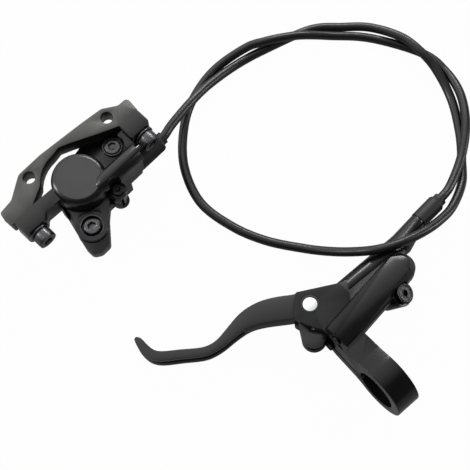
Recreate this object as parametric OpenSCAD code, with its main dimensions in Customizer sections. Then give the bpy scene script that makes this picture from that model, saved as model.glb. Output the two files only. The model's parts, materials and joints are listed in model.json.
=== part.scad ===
// Bicycle hydraulic disc brake: caliper with its adapter, hose, and lever with master cylinder.
// Millimetres. The brake lies on a table at z = 0, with the origin under the middle of its box.

/* [Placing] */
// Piston axis of the caliper, along X
caliper_x = -76.2; // [-90:0.1:-60]
// Piston axis of the caliper, along Y
caliper_y = 35.8; // [20:0.1:50]
// Turn of the caliper about Z
caliper_turn = 46; // [40:0.5:52]
// Middle of the handlebar clamp, along X
lever_x = 78.5; // [70:0.1:90]
// Middle of the handlebar clamp, along Y
lever_y = -64.5; // [-75:0.1:-55]
// Turn of the handlebar axis about Z
lever_turn = 40.5; // [35:0.5:46]
// Roll of the lever about the handlebar axis, until the blade's tip meets the table
lever_roll = 6.7; // [5:0.1:8]

/* [Caliper body] */
// Height over the two piston bosses
caliper_h = 38; // [37:0.2:41]
// Flat face of each piston boss, across
boss_face_d = 23; // [20:0.5:25]
// Wall round each piston bore
boss_wall = 3.5; // [3:0.1:4]
// Thickness of the outer half at its lug
lug_t = 7; // [6.5:0.1:8]
// Height of the raised ring round the lower body bolt
ring_rise = 2; // [1:0.1:3]
// Thickness of the inner half at its flange
inner_t = 7; // [6.5:0.1:8]
// Diameter of the fluid ridge on the outer half
ridge_d = 10; // [9:0.2:11]
// Length of the fluid ridge
ridge_len = 30; // [26:0.5:31]
// Diameter of the hose inlet boss
inlet_d = 11.2; // [10.8:0.1:11.4]
// End of the hose inlet boss, from the piston axis
inlet_end = 32; // [30:0.5:35]
// Diameter of the body bolts
body_bolt_d = 5; // [4.5:0.1:5.5]
// Diameter of the heads of the body bolts
body_head_d = 8.4; // [8:0.1:8.8]

/* [Rotor and pads] */
// Diameter of the rotor that the caliper takes
rotor_d = 160; // [140:10:180]
// Reach of the rotor's rim past the piston axis
rotor_reach = 8.8; // [7:0.2:9]
// Width of the rotor slot between the halves
slot_w = 5; // [4.4:0.1:5.4]
// Diameter of each piston
piston_d = 22; // [21:0.2:22.4]
// Length of each piston
piston_len = 9.2; // [8.6:0.1:9.4]
// Thickness of the rotor
rotor_t = 1.8; // [1.6:0.1:2]
// Thickness of the friction block
friction_t = 2.6; // [2:0.1:2.8]
// Thickness of the pad's backing plate
backing_t = 1.6; // [1.2:0.1:1.8]
// Travel of each pad to the rotor
pad_travel = 0.7; // [0.5:0.05:0.9]
// Diameter of the pad pin
pad_pin_d = 3.8; // [3.4:0.1:4.2]

/* [Mounting] */
// Thickness of the adapter
adapter_t = 10; // [9:0.2:11]
// Height of the adapter's underside over the middle of the rotor
adapter_rise = 5; // [4.6:0.1:5.6]
// Distance between the two frame bolts
frame_pitch = 51; // [50:0.2:52]
// Hole for each frame bolt
frame_hole_d = 6.5; // [6:0.1:7]
// Distance between the two caliper bolts
mount_pitch = 74; // [73:0.2:75]
// Diameter of the caliper bolts
mount_bolt_d = 6; // [5:0.1:6.2]
// Length of the caliper bolts under the head
mount_bolt_len = 18; // [16:0.5:19]
// Width of the mounting ears
ear_w = 12.4; // [12:0.1:13]
// Depth of the mounting ears, along the bolts
ear_depth = 10; // [9:0.2:11]
// Height of the mounting ears
ear_h = 14; // [13:0.2:15]

/* [Hose] */
// Outside diameter of the hose
hose_d = 5; // [4.6:0.1:5.2]
// Length of the boot at the caliper
caliper_boot_len = 20; // [18:0.5:22]
// Length of the boot at the lever
lever_boot_len = 17.5; // [16:0.5:19]

/* [Handlebar clamp] */
// Handlebar diameter
bar_d = 22.2; // [22:0.1:24]
// Wall of the clamp ring
clamp_wall = 5.4; // [4.8:0.1:6]
// Width of the clamp
clamp_w = 13.4; // [12:0.2:15]
// Width of the slit that the clamp bolt closes
slit_w = 1.5; // [1:0.1:2]
// Diameter of the clamp bolt
clamp_bolt_d = 5; // [4.5:0.1:5.5]
// Distance of the clamp bolt from the handlebar axis
clamp_bolt_out = 21; // [20:0.2:22]

/* [Lever blade] */
// Depth of the blade, along the pivot pin
blade_t = 9.5; // [8.5:0.1:10]
// Thickness of each pivot ear
pivot_ear_t = 3.6; // [3:0.1:4]
// Running gap between the blade and each ear
blade_gap = 0.25; // [0.2:0.05:0.4]
// Diameter of the pivot pin
pivot_d = 7.8; // [7:0.1:8.2]
// Wall of the pivot bushes
bush_wall = 1.1; // [0.9:0.1:1.3]
// Pivot pin, across from the handlebar axis
pivot_out = 53.1; // [52.6:0.1:53.6]
// Depth of the channel along the blade
channel_deep = 2.6; // [2:0.1:3]

/* [Master cylinder] */
// Diameter of the master piston
master_d = 10; // [9:0.1:10.4]
// Axis of the master cylinder, across from the handlebar axis
master_out = 45.3; // [45:0.1:45.6]
// Length of the master piston
master_len = 15; // [14:0.2:16]
// Outside diameter of the barrel
barrel_d = 12.2; // [12:0.1:13]
// Free turns of the return spring
spring_turns = 6; // [5:1:8]
// Wire of the return spring
spring_wire = 0.9; // [0.7:0.1:1]
// Length of the reservoir
reservoir_len = 50; // [48:0.5:52]
// Width of the reservoir
reservoir_w = 15.4; // [15:0.1:16]
// Top of the reservoir over the handlebar axis
reservoir_top = 16; // [15:0.2:17]
// Wall of the reservoir
reservoir_wall = 1.8; // [1.5:0.1:2]

/* [Hidden] */
fit = 0.05; // radial clearance of a running fit
gap = 0.3; // clearance between pieces that don't touch
fine = 64;

// Heights in the caliper count from the middle of the rotor slot
half_h = caliper_h / 2;
piston_r = piston_d / 2;
boss_r = piston_r + boss_wall;
boss_face_r = boss_face_d / 2;
fillet_h = 4.5;
ring_top = lug_t + ring_rise;
rotor_turn = 119.5;
rotor_r = rotor_d / 2;
rotor_middle = (rotor_r - rotor_reach) * [cos(rotor_turn), sin(rotor_turn)];
rotor_clear = 0.8;

pad_start = rotor_t / 2 + pad_travel;
pad_back = pad_start + friction_t + backing_t;
pocket_h = pad_back + gap;
bore_end = pad_back + piston_len + 1.2;
pad_r = piston_r + 0.3;
pad_tab_w = 7;
pocket_clear = 0.5;
pad_pin_at = [11.2, -16];
pad_pin_turn = atan2(pad_pin_at.y, pad_pin_at.x);
pad_pin_out = norm(pad_pin_at);
pad_ear_r = 4.6;
pad_pin_r = pad_pin_d / 2;
pad_head_r = 3.4;
seal_at = pad_back + 4;
seal_h = 2.4;
seal_deep = 1.5;

lower_bolt_at = [-11.6, -20.6];
upper_bolt_at = [26.6, 4.6];
body_bolt_r = body_bolt_d / 2;
body_head_r = body_head_d / 2;
body_head_h = 3.6;
lower_seat = ring_top - 3.5;
upper_ring_top = adapter_rise + 1.4;
upper_seat = upper_ring_top - 3;
ring_r = 8.4;
counterbore_r = 5.5;
deck_t = adapter_rise - gap;

adapter_top = adapter_rise + adapter_t;
mount_z = adapter_rise + adapter_t / 2;
mount_face = 6.6;
mount_mid = 4.5;
mount_xs = [mount_mid - mount_pitch / 2, mount_mid + mount_pitch / 2];
ear_back = mount_face - ear_depth;
mount_bolt_r = mount_bolt_d / 2;
mount_head_r = 5;
mount_head_h = 6;
washer_t = 1.5;
washer_r = 5.8;
frame_turn = -5;
frame_mid = [8.65, 17.4];
frame_holes = [for (s = [-1, 1]) frame_mid + s * frame_pitch / 2 * [cos(frame_turn), sin(frame_turn)]];

ridge_r = ridge_d / 2;
ridge_at = [-10.4, 16];
ridge_start = 1.4;
ridge_nose = 9.5;
ridge_end = ridge_start + ridge_len;
inlet_at = [-6.5, -5.9];
inlet_r = inlet_d / 2;
port_at = [18, -8.4];
bleed_bore_r = 2.5;

// Hose fittings, from the end of a boss inwards
hose_r = hose_d / 2;
hose_gap = 0.3;
nut_r = 4;
nut_in = 5.5;
nut_head_h = 3;
nut_head_r = 4.7;
olive_h = 3.2;
hose_in = 11;
lever_nut_r = 3.3;
lever_nut_head_r = 3.7;
boot_r = 5.7;
lever_boot_r = 4.7;
collar_r = 3.6;

// Lever: x along the handlebar, y towards the blade, z along the pivot pin
bar_r = bar_d / 2;
clamp_r = bar_r + clamp_wall;
blade_half = blade_t / 2;
ear_in = blade_half + blade_gap;
ear_out = ear_in + pivot_ear_t;
pivot_at = [-2.7, pivot_out];
pivot_r = pivot_d / 2;
bush_r = pivot_r + bush_wall;
hub_r = 7.5;
arm_reach = [-6, -9.4];
arm_at = pivot_at + arm_reach;
lobe_at = [-11.5, 40.3];
lobe_r = 6.3;
arm_slot = 5.2;
arm_pin_r = 1.5;
rod_r = 1.8;
rod_len = 25;
ball_r = 2.5;
ball_at = [arm_at.x + sqrt(rod_len * rod_len - pow(master_out - arm_at.y, 2)), master_out];
rod_turn = asin((master_out - arm_at.y) / rod_len);

master_r = master_d / 2;
mouth = 10;
piston_back = 13;
piston_front = piston_back + master_len;
bore_front = piston_front + 15;
clip_at = 11.4;
clip_t = 0.9;
barrel_r = barrel_d / 2;
barrel_mid = 48.3;
barrel_end = 58;
outlet_at = [73, 51.8];
outlet_turn = 5;
outlet_r = 4.4;

reservoir_turn = 7.7;
reservoir_start = [-5.5, 29.9];
reservoir_half = reservoir_w / 2;
reservoir_foot = ear_in + gap;
cap_t = 2.4;
bleed_at = [35.6, 26.3, 8];
bleed_lean = 40;
bleed_turn = -49;
bleed_boss_r = 6.6;
bleed_r = 4;
bleed_head_r = 5.4;
clamp_bolt_r = clamp_bolt_d / 2;
slit_top = -3.8;
tongue_top = slit_top - slit_w;
tongue_end = 36;

// Route of the hose's axis between its two boots
hose_route = [
    [-30.5, 77, 12.5], [-20, 92, 10], [-10.5, 104, 6.2], [5, 118, 2.8], [23.5, 129, 2.5], [46.5, 140, 2.5],
    [63.5, 141.5, 2.5], [80.5, 140.5, 4], [97, 133, 7], [107.5, 123.5, 7.8], [116, 113.5, 5.5],
    [124, 97, 2.5], [127.5, 76, 2.5], [127.5, 59, 2.5], [126, 45, 5], [119, 30, 10], [111, 21, 14],
    [101.5, 13.5, 18], [88.5, 6.5, 20.6], [77, 3.5, 19], [66, 4, 13.4], [54, 6, 7.3], [40, 9, 3.1],
    [20, 13.5, 2.5], [2, 21.5, 2.5], [-15, 35, 2.5], [-24, 55, 2.5], [-25, 76, 2.5], [-20.5, 95, 2.5],
    [-8.5, 114, 2.5], [9, 126.5, 5.4], [20, 129.5, 7.8], [31.5, 132, 8.2], [42, 134, 7], [58, 135.5, 3.5],
    [80.5, 134.5, 2.5], [108.5, 125.5, 2.5], [121, 115, 2.5], [128.5, 99, 5.5], [130, 79.5, 7.7],
    [126.5, 60.5, 7.8], [119, 42.5, 9.5]
];

// Helpers for outlines and sweeps

function unit(v) = v / norm(v);

// Points of the arc that rounds the corner p between a and b to the radius p[2]
function corner(a, p, b, steps) =
    let (at = [p.x, p.y], u = unit([a.x, a.y] - at), v = unit([b.x, b.y] - at), r = p[2])
    r == 0 ? [at] :
    let (half = acos(u * v) / 2, middle = at + unit(u + v) * r / sin(half))
    let (start = at + u * r / tan(half) - middle, turn = (180 - 2 * half) * (cross(u, v) < 0 ? 1 : -1))
    [for (i = [0:steps]) let (t = turn * i / steps)
        middle + [start.x * cos(t) - start.y * sin(t), start.x * sin(t) + start.y * cos(t)]];

// Closed outline with every corner [x, y, radius] rounded
function rounded(c, steps = 4) =
    let (n = len(c)) [for (i = [0:n - 1]) each corner(c[(i + n - 1) % n], c[i], c[(i + 1) % n], steps)];

function arc(middle, r, from, to, steps) =
    [for (i = [0:steps]) let (t = from + (to - from) * i / steps) middle + r * [cos(t), sin(t)]];

// Point at t between b and c on the smooth curve through a, b, c and d
function between(a, b, c, d, t) =
    0.5 * (2 * b + (c - a) * t + (2 * a - 5 * b + 4 * c - d) * t * t + (3 * b - a - 3 * c + d) * t * t * t);

// Smooth curve through all the points, with a number of steps between each two
function smooth(p, steps) =
    let (n = len(p) - 1)
    [for (i = [0:n - 1], k = [0:steps - 1])
        between(p[max(i - 1, 0)], p[i], p[i + 1], p[min(i + 2, n)], k / steps), p[n]];

function heading(p, i) = unit(p[min(i + 1, len(p) - 1)] - p[max(i - 1, 0)]);

// One ring of a tube round point i of the path
function ring_points(p, i, r, sides, flat) =
    let (t = heading(p, i), s = unit(cross(t, flat)), u = cross(s, t))
    [for (k = [0:sides - 1]) p[i] + r * (cos(360 * k / sides) * s + sin(360 * k / sides) * u)];

// Round tube along a path that never runs along the direction flat
module sweep(p, r, sides, flat) {
    n = len(p);
    polyhedron(
        points = [for (i = [0:n - 1]) each ring_points(p, i, r, sides, flat)],
        faces = concat(
            [[for (k = [sides - 1:-1:0]) k], [for (k = [0:sides - 1]) (n - 1) * sides + k]],
            [for (i = [0:n - 2], k = [0:sides - 1]) let (m = (k + 1) % sides)
                each [[i * sides + k, i * sides + m, (i + 1) * sides + m],
                    [i * sides + k, (i + 1) * sides + m, (i + 1) * sides + k]]]
        )
    );
}

// Places of the two assemblies, and the same as a function of a point

module in_caliper() {
    translate([caliper_x, caliper_y, half_h]) rotate([0, 0, caliper_turn]) children();
}

module in_lever() {
    translate([lever_x, lever_y, clamp_r]) rotate([0, 0, lever_turn]) rotate([-lever_roll, 0, 0]) children();
}

function turned(p, a) = [p.x * cos(a) - p.y * sin(a), p.x * sin(a) + p.y * cos(a), p.z];

function caliper_point(p) = [caliper_x, caliper_y, half_h] + turned(p, caliper_turn);

function lever_point(p) =
    let (c = cos(lever_roll), s = sin(lever_roll))
    [lever_x, lever_y, clamp_r] + turned([p.x, p.y * c + p.z * s, p.z * c - p.y * s], lever_turn);

// Cylinder with its axis along X, from x1 to x2
module bar_x(x1, x2, r, y = 0, z = 0) {
    translate([x1, y, z]) rotate([0, 90, 0]) cylinder(h = x2 - x1, r = r, $fn = fine);
}

// Cylinder with its axis along Y, from y1 to y2
module bar_y(y1, y2, r, x = 0, z = 0) {
    translate([x, y2, z]) rotate([90, 0, 0]) cylinder(h = y2 - y1, r = r, $fn = fine);
}

module bar_z(z1, z2, r, at = [0, 0]) {
    translate([at.x, at.y, z1]) cylinder(h = z2 - z1, r = r, $fn = fine);
}

module ring_z(z1, z2, inner, outer, at = [0, 0]) {
    difference() {
        bar_z(z1, z2, outer, at);
        bar_z(z1 - 1, z2 + 1, inner, at);
    }
}

module plate(z1, z2, outline) {
    translate([0, 0, z1]) linear_extrude(z2 - z1) polygon(outline);
}

module hex_socket(top, deep, across, at = [0, 0]) {
    translate([at.x, at.y, top - deep]) cylinder(h = deep + 1, d = across / cos(30), $fn = 6);
}

// Caliper outlines

lug_outline = rounded([
    [-14, 2, 0], [-16.2, -5.2, 3], [-18.6, -14.5, 20], [-21.4, -26, 8], [-21.4, -31, 3], [-17.5, -33.4, 3],
    [-11.5, -33.4, 3], [-1.3, -21.6, 6], [4.2, -16.8, 3], [9, -8, 0], [0, 4, 0]
]);

inner_lug_outline = rounded([
    [-14, 2, 0], [-15.2, -5.2, 3], [-16.8, -14.5, 20], [-18.6, -24, 4], [-16.6, -28, 3], [-9.6, -28, 3],
    [0, -19.4, 6], [5, -15, 3], [9, -8, 0], [0, 4, 0]
]);

deck_outline = rounded([
    [6, -2, 0], [20, -13, 0], [31, -13, 1.5], [33, -3, 3], [36.5, 6.4, 1.5], [33.5, 11.2, 2.5],
    [25.8, 13.2, 6], [14.9, 17.2, 2], [4, 15, 0], [0, 8, 0]
]);

arm_outline = rounded([
    [mount_xs[0] - ear_w / 2, ear_back, 2], [mount_xs[0] + ear_w / 2, ear_back, 2], [-24, -0.9, 2],
    [-12, -1.5, 0], [-9, 5, 0], [-12, 6, 0], [-25, mount_face, 0], [mount_xs[0] - ear_w / 2, mount_face, 1]
]);

ear_outline = rounded([
    [mount_xs[1] - ear_w / 2 - 0.6, ear_back, 1], [mount_xs[1] + ear_w / 2, ear_back, 2],
    [mount_xs[1] + ear_w / 2, mount_face, 1], [mount_xs[1] - ear_w / 2 - 0.6, mount_face, 1]
]);

neck_outline = rounded([
    [30.4, -7, 2], [34.8, -4.6, 1], [35, -2, 0], [37, -2, 0], [37, 6, 0], [31.2, 6, 1.5], [32.4, 2, 2],
    [30.4, -2, 2]
]);

// Piston boss from the rotor slot up to its flat face, with a rounded shoulder
module piston_boss() {
    shoulder = half_h - fillet_h;
    rotate_extrude($fn = 96) polygon(concat(
        [[0, 0], [boss_r, 0]],
        [for (t = [0:18:90]) [boss_face_r + (boss_r - boss_face_r) * cos(t), shoulder + fillet_h * sin(t)]],
        [[0, half_h]]
    ));
}

// Outline of the pad with its tab towards the pad pin, grown on every side
module pad_shape(grow, tab_end) {
    circle(r = pad_r + grow, $fn = fine);
    rotate(pad_pin_turn) polygon(rounded([
        [2, -pad_tab_w / 2 - grow, 0], [tab_end, -pad_tab_w / 2 - grow, 2],
        [tab_end, pad_tab_w / 2 + grow, 2], [2, pad_tab_w / 2 + grow, 0]
    ]));
}

// What each half gives up to the rotor, the pad, the piston, its seal and the pad pin
module half_cuts() {
    bar_z(-slot_w / 2, slot_w / 2, rotor_r + rotor_clear, rotor_middle);
    translate([0, 0, -1]) linear_extrude(pocket_h + 1) pad_shape(pocket_clear, 30);
    bar_z(0, bore_end, piston_r);
    bar_z(seal_at - 0.1, seal_at + seal_h + 0.1, piston_r + seal_deep + 0.1);
    bar_z(-1, half_h, pad_pin_r + fit, pad_pin_at);
}

// Slot through an ear, longer across the rotor so that the caliper can be centred on it
module mount_slot(x) {
    r = mount_bolt_r + gap;
    reach = r + 2;
    translate([x, mount_face + 1, mount_z]) rotate([90, 0, 0]) linear_extrude(ear_depth + 2)
        polygon(rounded([[-r, -reach, r - 0.1], [r, -reach, r - 0.1], [r, reach, r - 0.1],
            [-r, reach, r - 0.1]], 6));
}

// Fluid ridge with a round nose, on its foot
module ridge() {
    nose = [for (t = [15:15:90]) [ridge_r * sin(t), ridge_nose * (1 - cos(t))]];
    translate([ridge_start, ridge_at[0], ridge_at[1]]) rotate([0, 90, 0])
        rotate_extrude($fn = fine) polygon(concat([[0, 0]], nose, [[ridge_r, ridge_len], [0, ridge_len]]));
    translate([9, -14.4, 0]) cube([ridge_end - 9.5, 9.4, ridge_at[1] - 0.6]);
}

module caliper_outer_half() {
    ear_low = mount_z - ear_h / 2;
    color([0.13, 0.13, 0.13]) in_caliper() difference() {
        union() {
            piston_boss();
            plate(0, lug_t, lug_outline);
            plate(0, deck_t, deck_outline);
            plate(ear_low, mount_z + ear_h / 2, arm_outline);
            plate(ear_low, mount_z + ear_h / 2, ear_outline);
            plate(1, mount_z + 1.5, neck_outline);
            bar_z(0, ring_top, ring_r, lower_bolt_at);
            bar_z(0, upper_ring_top, counterbore_r, upper_bolt_at);
            bar_z(0, ring_top, pad_ear_r, pad_pin_at);
            ridge();
        }
        half_cuts();
        bar_z(ring_top, ring_top + 12, pad_head_r + gap, pad_pin_at);
        bar_z(-1, ring_top + 1, body_bolt_r + fit, lower_bolt_at);
        bar_z(lower_seat, ring_top + 1, counterbore_r, lower_bolt_at);
        bar_z(-1, ring_top + 9, body_bolt_r + fit, upper_bolt_at);
        bar_z(upper_seat, ring_top + 9, body_head_r + gap, upper_bolt_at);
        for (x = mount_xs) mount_slot(x);
        bar_z(-1, bore_end - 0.8, 1, port_at);
        bar_x(piston_r - 3, port_at.x, 0.7, port_at.y, bore_end - 0.8);
        bar_z(-1, 0.9, 2.5, port_at);
        bar_x(port_at.x - 1, ridge_end - 9, 1.6, ridge_at[0], ridge_at[1] - 1);
        bar_x(ridge_end - 9, ridge_end + 1, bleed_bore_r, ridge_at[0], ridge_at[1]);
    }
}

module caliper_inner_half() {
    color([0.15, 0.15, 0.15]) in_caliper() difference() {
        union() {
            mirror([0, 0, 1]) piston_boss();
            plate(-inner_t, 0, inner_lug_outline);
            plate(-inner_t, 0, deck_outline);
            bar_z(-inner_t, 0, pad_ear_r, pad_pin_at);
            bar_x(10, inlet_end, inlet_r, inlet_at[0], inlet_at[1]);
            translate([3, -13, -bore_end - 0.7]) cube([19, 11.5, bore_end]);
        }
        mirror([0, 0, 1]) half_cuts();
        bar_z(-inner_t - 9, 1, body_bolt_r + fit, lower_bolt_at);
        bar_z(-inner_t - 9, 1, body_bolt_r + fit, upper_bolt_at);
        bar_x(port_at.x - 2, inlet_end + 1, 1.4, inlet_at[0], inlet_at[1]);
        bar_x(inlet_end - hose_in, inlet_end + 1, hose_r + hose_gap, inlet_at[0], inlet_at[1]);
        bar_x(inlet_end - nut_in - olive_h, inlet_end + 1, nut_r + fit, inlet_at[0], inlet_at[1]);
        bar_x(inlet_end, inlet_end + 6, boot_r + gap, inlet_at[0], inlet_at[1]);
        bar_z(-inner_t - 3, -inner_t + 0.1, pad_pin_r + 2.1, pad_pin_at);
        bar_z(-bore_end + 0.8, 1, 1, port_at);
        bar_x(piston_r - 3, port_at.x, 0.7, port_at.y, -bore_end + 0.8);
    }
}

// Socket head bolt along Z, its head standing on z = 0
module socket_bolt(shank_r, shank_len, head_r, head_h, key) {
    difference() {
        union() {
            bar_z(-shank_len, 0, shank_r);
            bar_z(0, head_h, head_r);
        }
        hex_socket(head_h, head_h * 0.55, key);
    }
}

module lower_body_bolt() {
    color([0.2, 0.2, 0.2]) in_caliper() translate([lower_bolt_at.x, lower_bolt_at.y, lower_seat])
        socket_bolt(body_bolt_r, lower_seat + inner_t - 0.5, body_head_r, body_head_h, 4);
}

module upper_body_bolt() {
    color([0.2, 0.2, 0.2]) in_caliper() translate([upper_bolt_at.x, upper_bolt_at.y, upper_seat])
        socket_bolt(body_bolt_r, upper_seat + inner_t - 0.5, body_head_r, body_head_h, 4);
}

// Cup piston with its open side to the pad
module wheel_piston() {
    difference() {
        bar_z(pad_back, pad_back + piston_len, piston_r - fit);
        bar_z(pad_back - 1, pad_back + piston_len - 2.5, piston_r - 3);
    }
}

module outer_piston() {
    color([0.75, 0.75, 0.75]) in_caliper() wheel_piston();
}

module inner_piston() {
    color([0.75, 0.75, 0.75]) in_caliper() mirror([0, 0, 1]) wheel_piston();
}

module outer_piston_seal() {
    color([0.1, 0.1, 0.1]) in_caliper() ring_z(seal_at, seal_at + seal_h, piston_r, piston_r + seal_deep);
}

module inner_piston_seal() {
    color([0.1, 0.1, 0.1]) in_caliper() mirror([0, 0, 1])
        ring_z(seal_at, seal_at + seal_h, piston_r, piston_r + seal_deep);
}

module pad_backing() {
    difference() {
        translate([0, 0, pad_back - backing_t]) linear_extrude(backing_t)
            pad_shape(0, pad_pin_out + 3.6);
        bar_z(0, pad_back + 1, pad_pin_r + 0.2, pad_pin_at);
    }
}

module pad_friction() {
    top = pad_back - backing_t;
    difference() {
        bar_z(pad_start, top, pad_r - 1.4);
        rotate(pad_pin_turn) translate([-pad_r, -0.6, pad_start - 1]) cube([2 * pad_r, 1.2, 2.4]);
    }
}

module outer_pad_backing() {
    color([0.55, 0.45, 0.3]) in_caliper() pad_backing();
}

module inner_pad_backing() {
    color([0.55, 0.45, 0.3]) in_caliper() mirror([0, 0, 1]) pad_backing();
}

module outer_pad_friction() {
    color([0.3, 0.28, 0.26]) in_caliper() pad_friction();
}

module inner_pad_friction() {
    color([0.3, 0.28, 0.26]) in_caliper() mirror([0, 0, 1]) pad_friction();
}

// Sheet spring: a leaf beside each friction block, joined by a bridge round the pad pin
module pad_spring() {
    sheet = 0.4;
    leaf_in = pad_back - backing_t - 0.1 - sheet;
    leaf_r = pad_r - 1.1;
    stem_w = 5;
    color([0.7, 0.7, 0.7]) in_caliper() rotate(pad_pin_turn) difference() {
        union() {
            for (s = [0, 1]) mirror([0, 0, s]) translate([0, 0, leaf_in]) linear_extrude(sheet) difference() {
                union() {
                    circle(r = pad_r - 0.1, $fn = fine);
                    translate([pad_r - 1, -stem_w / 2]) square([pad_pin_out + 3.4 - pad_r + 1, stem_w]);
                }
                circle(r = leaf_r, $fn = fine);
                translate([-pad_r - 1, -pad_r - 1]) square([pad_r - 3, 2 * pad_r + 2]);
            }
            translate([pad_pin_out + 3, -stem_w / 2, -leaf_in]) cube([sheet, stem_w, 2 * leaf_in]);
        }
        bar_z(-half_h, half_h, pad_pin_r + gap, [pad_pin_out, 0]);
    }
}

module pad_pin() {
    color([0.3, 0.3, 0.3]) in_caliper() translate([pad_pin_at.x, pad_pin_at.y, ring_top])
        socket_bolt(pad_pin_r, ring_top + inner_t + 2.2, pad_head_r, 1.8, 2.5);
}

module pad_pin_clip() {
    color([0.6, 0.6, 0.6]) in_caliper() difference() {
        ring_z(-inner_t - 1, -inner_t - 0.3, pad_pin_r + 0.05, pad_pin_r + 1.7, pad_pin_at);
        translate([pad_pin_at.x, pad_pin_at.y - 0.9, -inner_t - 2]) cube([6, 1.8, 3]);
    }
}

// Round-section ring by revolving a circle about Z
module o_ring(middle_r, r) {
    rotate_extrude($fn = fine) translate([middle_r, 0]) circle(r = r, $fn = 24);
}

module crossover_o_ring() {
    color([0.08, 0.08, 0.08]) in_caliper() translate([port_at.x, port_at.y, 0.45]) o_ring(1.9, 0.42);
}

module caliper_bleed_screw() {
    color([0.3, 0.3, 0.3]) in_caliper() difference() {
        bar_x(ridge_end - 7, ridge_end - 0.4, bleed_bore_r - fit, ridge_at[0], ridge_at[1]);
        translate([ridge_end - 3, ridge_at[0], ridge_at[1]]) rotate([0, 90, 0])
            cylinder(h = 4, d = 2.5 / cos(30), $fn = 6);
    }
}

// Adapter: arched plate between the frame's two tabs and the caliper's two ears
adapter_outline = concat(
    rounded([
        [-26.9, mount_face, 4], [-40, mount_face, 1], [-40.4, 15.9, 1.5], [-31.5, 17, 5], [-19.6, 24.7, 5],
        [-4.4, 24.9, 12], [21.9, 22.6, 0], [35.5, 21, 5], [43, 16, 4], [49.3, 15.9, 2],
        [48.4, mount_face, 1], [36.2, mount_face, 3], [25.6, 11.3, 0], [10.9, 18.4, 6], [5, 20.9, 0]
    ]),
    arc([0, 0], 20, 90, 142, 6)
);

module adapter_bracket() {
    color([0.22, 0.22, 0.22]) in_caliper() difference() {
        plate(adapter_rise, adapter_top, adapter_outline);
        for (at = frame_holes) bar_z(adapter_rise - 1, adapter_top + 1, frame_hole_d / 2, at);
        for (x = mount_xs) bar_y(mount_face - 1, mount_face + 8.6, mount_bolt_r + fit, x, mount_z);
    }
}

module caliper_mount_bolts() {
    head_at = ear_back - washer_t;
    color([0.18, 0.18, 0.18]) in_caliper() for (x = mount_xs) {
        translate([x, head_at, mount_z]) rotate([90, 0, 0])
            socket_bolt(mount_bolt_r, mount_bolt_len, mount_head_r, mount_head_h, 5);
    }
}

module caliper_mount_washers() {
    color([0.3, 0.3, 0.3]) in_caliper() for (x = mount_xs) difference() {
        bar_y(ear_back - washer_t, ear_back, washer_r, x, mount_z);
        bar_y(ear_back - washer_t - 1, ear_back + 1, mount_bolt_r + 0.2, x, mount_z);
    }
}

// Hose fittings: both hang on an axis along X, from the boss's end face at x = 0

module hose_nut(thread_r, head_r) {
    difference() {
        union() {
            bar_x(-nut_in, 0, thread_r);
            rotate([0, 90, 0]) cylinder(h = nut_head_h, r = head_r, $fn = 6);
        }
        bar_x(-nut_in - 1, nut_head_h + 1, hose_r + hose_gap);
    }
}

module hose_olive(thread_r) {
    difference() {
        bar_x(-nut_in - olive_h + 0.1, -nut_in, thread_r - 0.1);
        bar_x(-nut_in - olive_h - 1, -nut_in + 1, hose_r + fit);
    }
}

// Barb: a flange on the hose's cut end and a stem pressed into the hose
module hose_barb() {
    difference() {
        union() {
            bar_x(-hose_in, -hose_in + 0.9, hose_r);
            bar_x(-hose_in, -hose_in + 9, 1.3);
        }
        bar_x(-hose_in - 1, -hose_in + 10, 0.8);
    }
}

// Rubber boot over the nut: it narrows to a collar round the hose
module hose_boot(r, length, head_r) {
    difference() {
        rotate([0, 90, 0]) rotate_extrude($fn = fine) polygon([
            [0, 0], [r, 0], [r, length - 4], [r - 0.5, length - 2.9], [collar_r + 0.2, length - 2.4],
            [collar_r, length - 2], [collar_r, length], [0, length]
        ]);
        bar_x(-1, nut_head_h + gap, head_r + fit);
        bar_x(-1, length + 1, hose_r + hose_gap);
    }
}

module at_inlet() {
    in_caliper() translate([inlet_end, inlet_at[0], inlet_at[1]]) children();
}

module at_outlet() {
    in_lever() translate([outlet_at.x, outlet_at.y, 0]) rotate([0, 0, outlet_turn]) children();
}

module caliper_hose_nut() {
    color([0.35, 0.35, 0.35]) at_inlet() hose_nut(nut_r, nut_head_r);
}

module caliper_hose_olive() {
    color([0.8, 0.65, 0.3]) at_inlet() hose_olive(nut_r);
}

module caliper_hose_barb() {
    color([0.8, 0.8, 0.8]) at_inlet() hose_barb();
}

module caliper_hose_boot() {
    color([0.1, 0.1, 0.1]) at_inlet() hose_boot(boot_r, caliper_boot_len, nut_head_r);
}

module lever_hose_nut() {
    color([0.35, 0.35, 0.35]) at_outlet() hose_nut(lever_nut_r, lever_nut_head_r);
}

module lever_hose_olive() {
    color([0.8, 0.65, 0.3]) at_outlet() hose_olive(lever_nut_r);
}

module lever_hose_barb() {
    color([0.8, 0.8, 0.8]) at_outlet() hose_barb();
}

module lever_hose_boot() {
    color([0.1, 0.1, 0.1]) at_outlet() hose_boot(lever_boot_r, lever_boot_len, lever_nut_head_r);
}

// Points on the fittings' axes, out from the boss's end face
function inlet_point(out) = caliper_point([inlet_end + out, inlet_at[0], inlet_at[1]]);

function outlet_point(out) =
    lever_point([outlet_at.x + out * cos(outlet_turn), outlet_at.y + out * sin(outlet_turn), 0]);

hose_points = concat(
    [inlet_point(-hose_in + 0.9), inlet_point(caliper_boot_len / 2), inlet_point(caliper_boot_len)],
    hose_route,
    [outlet_point(lever_boot_len), outlet_point(lever_boot_len / 2), outlet_point(-hose_in + 0.9)]
);

module hose() {
    path = [for (p = smooth(hose_points, 2)) [p.x, p.y, max(p.z, hose_r)]];
    color([0.12, 0.12, 0.12]) sweep(path, hose_r, 10, [0, 0, 1]);
}

// Lever assembly

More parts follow.
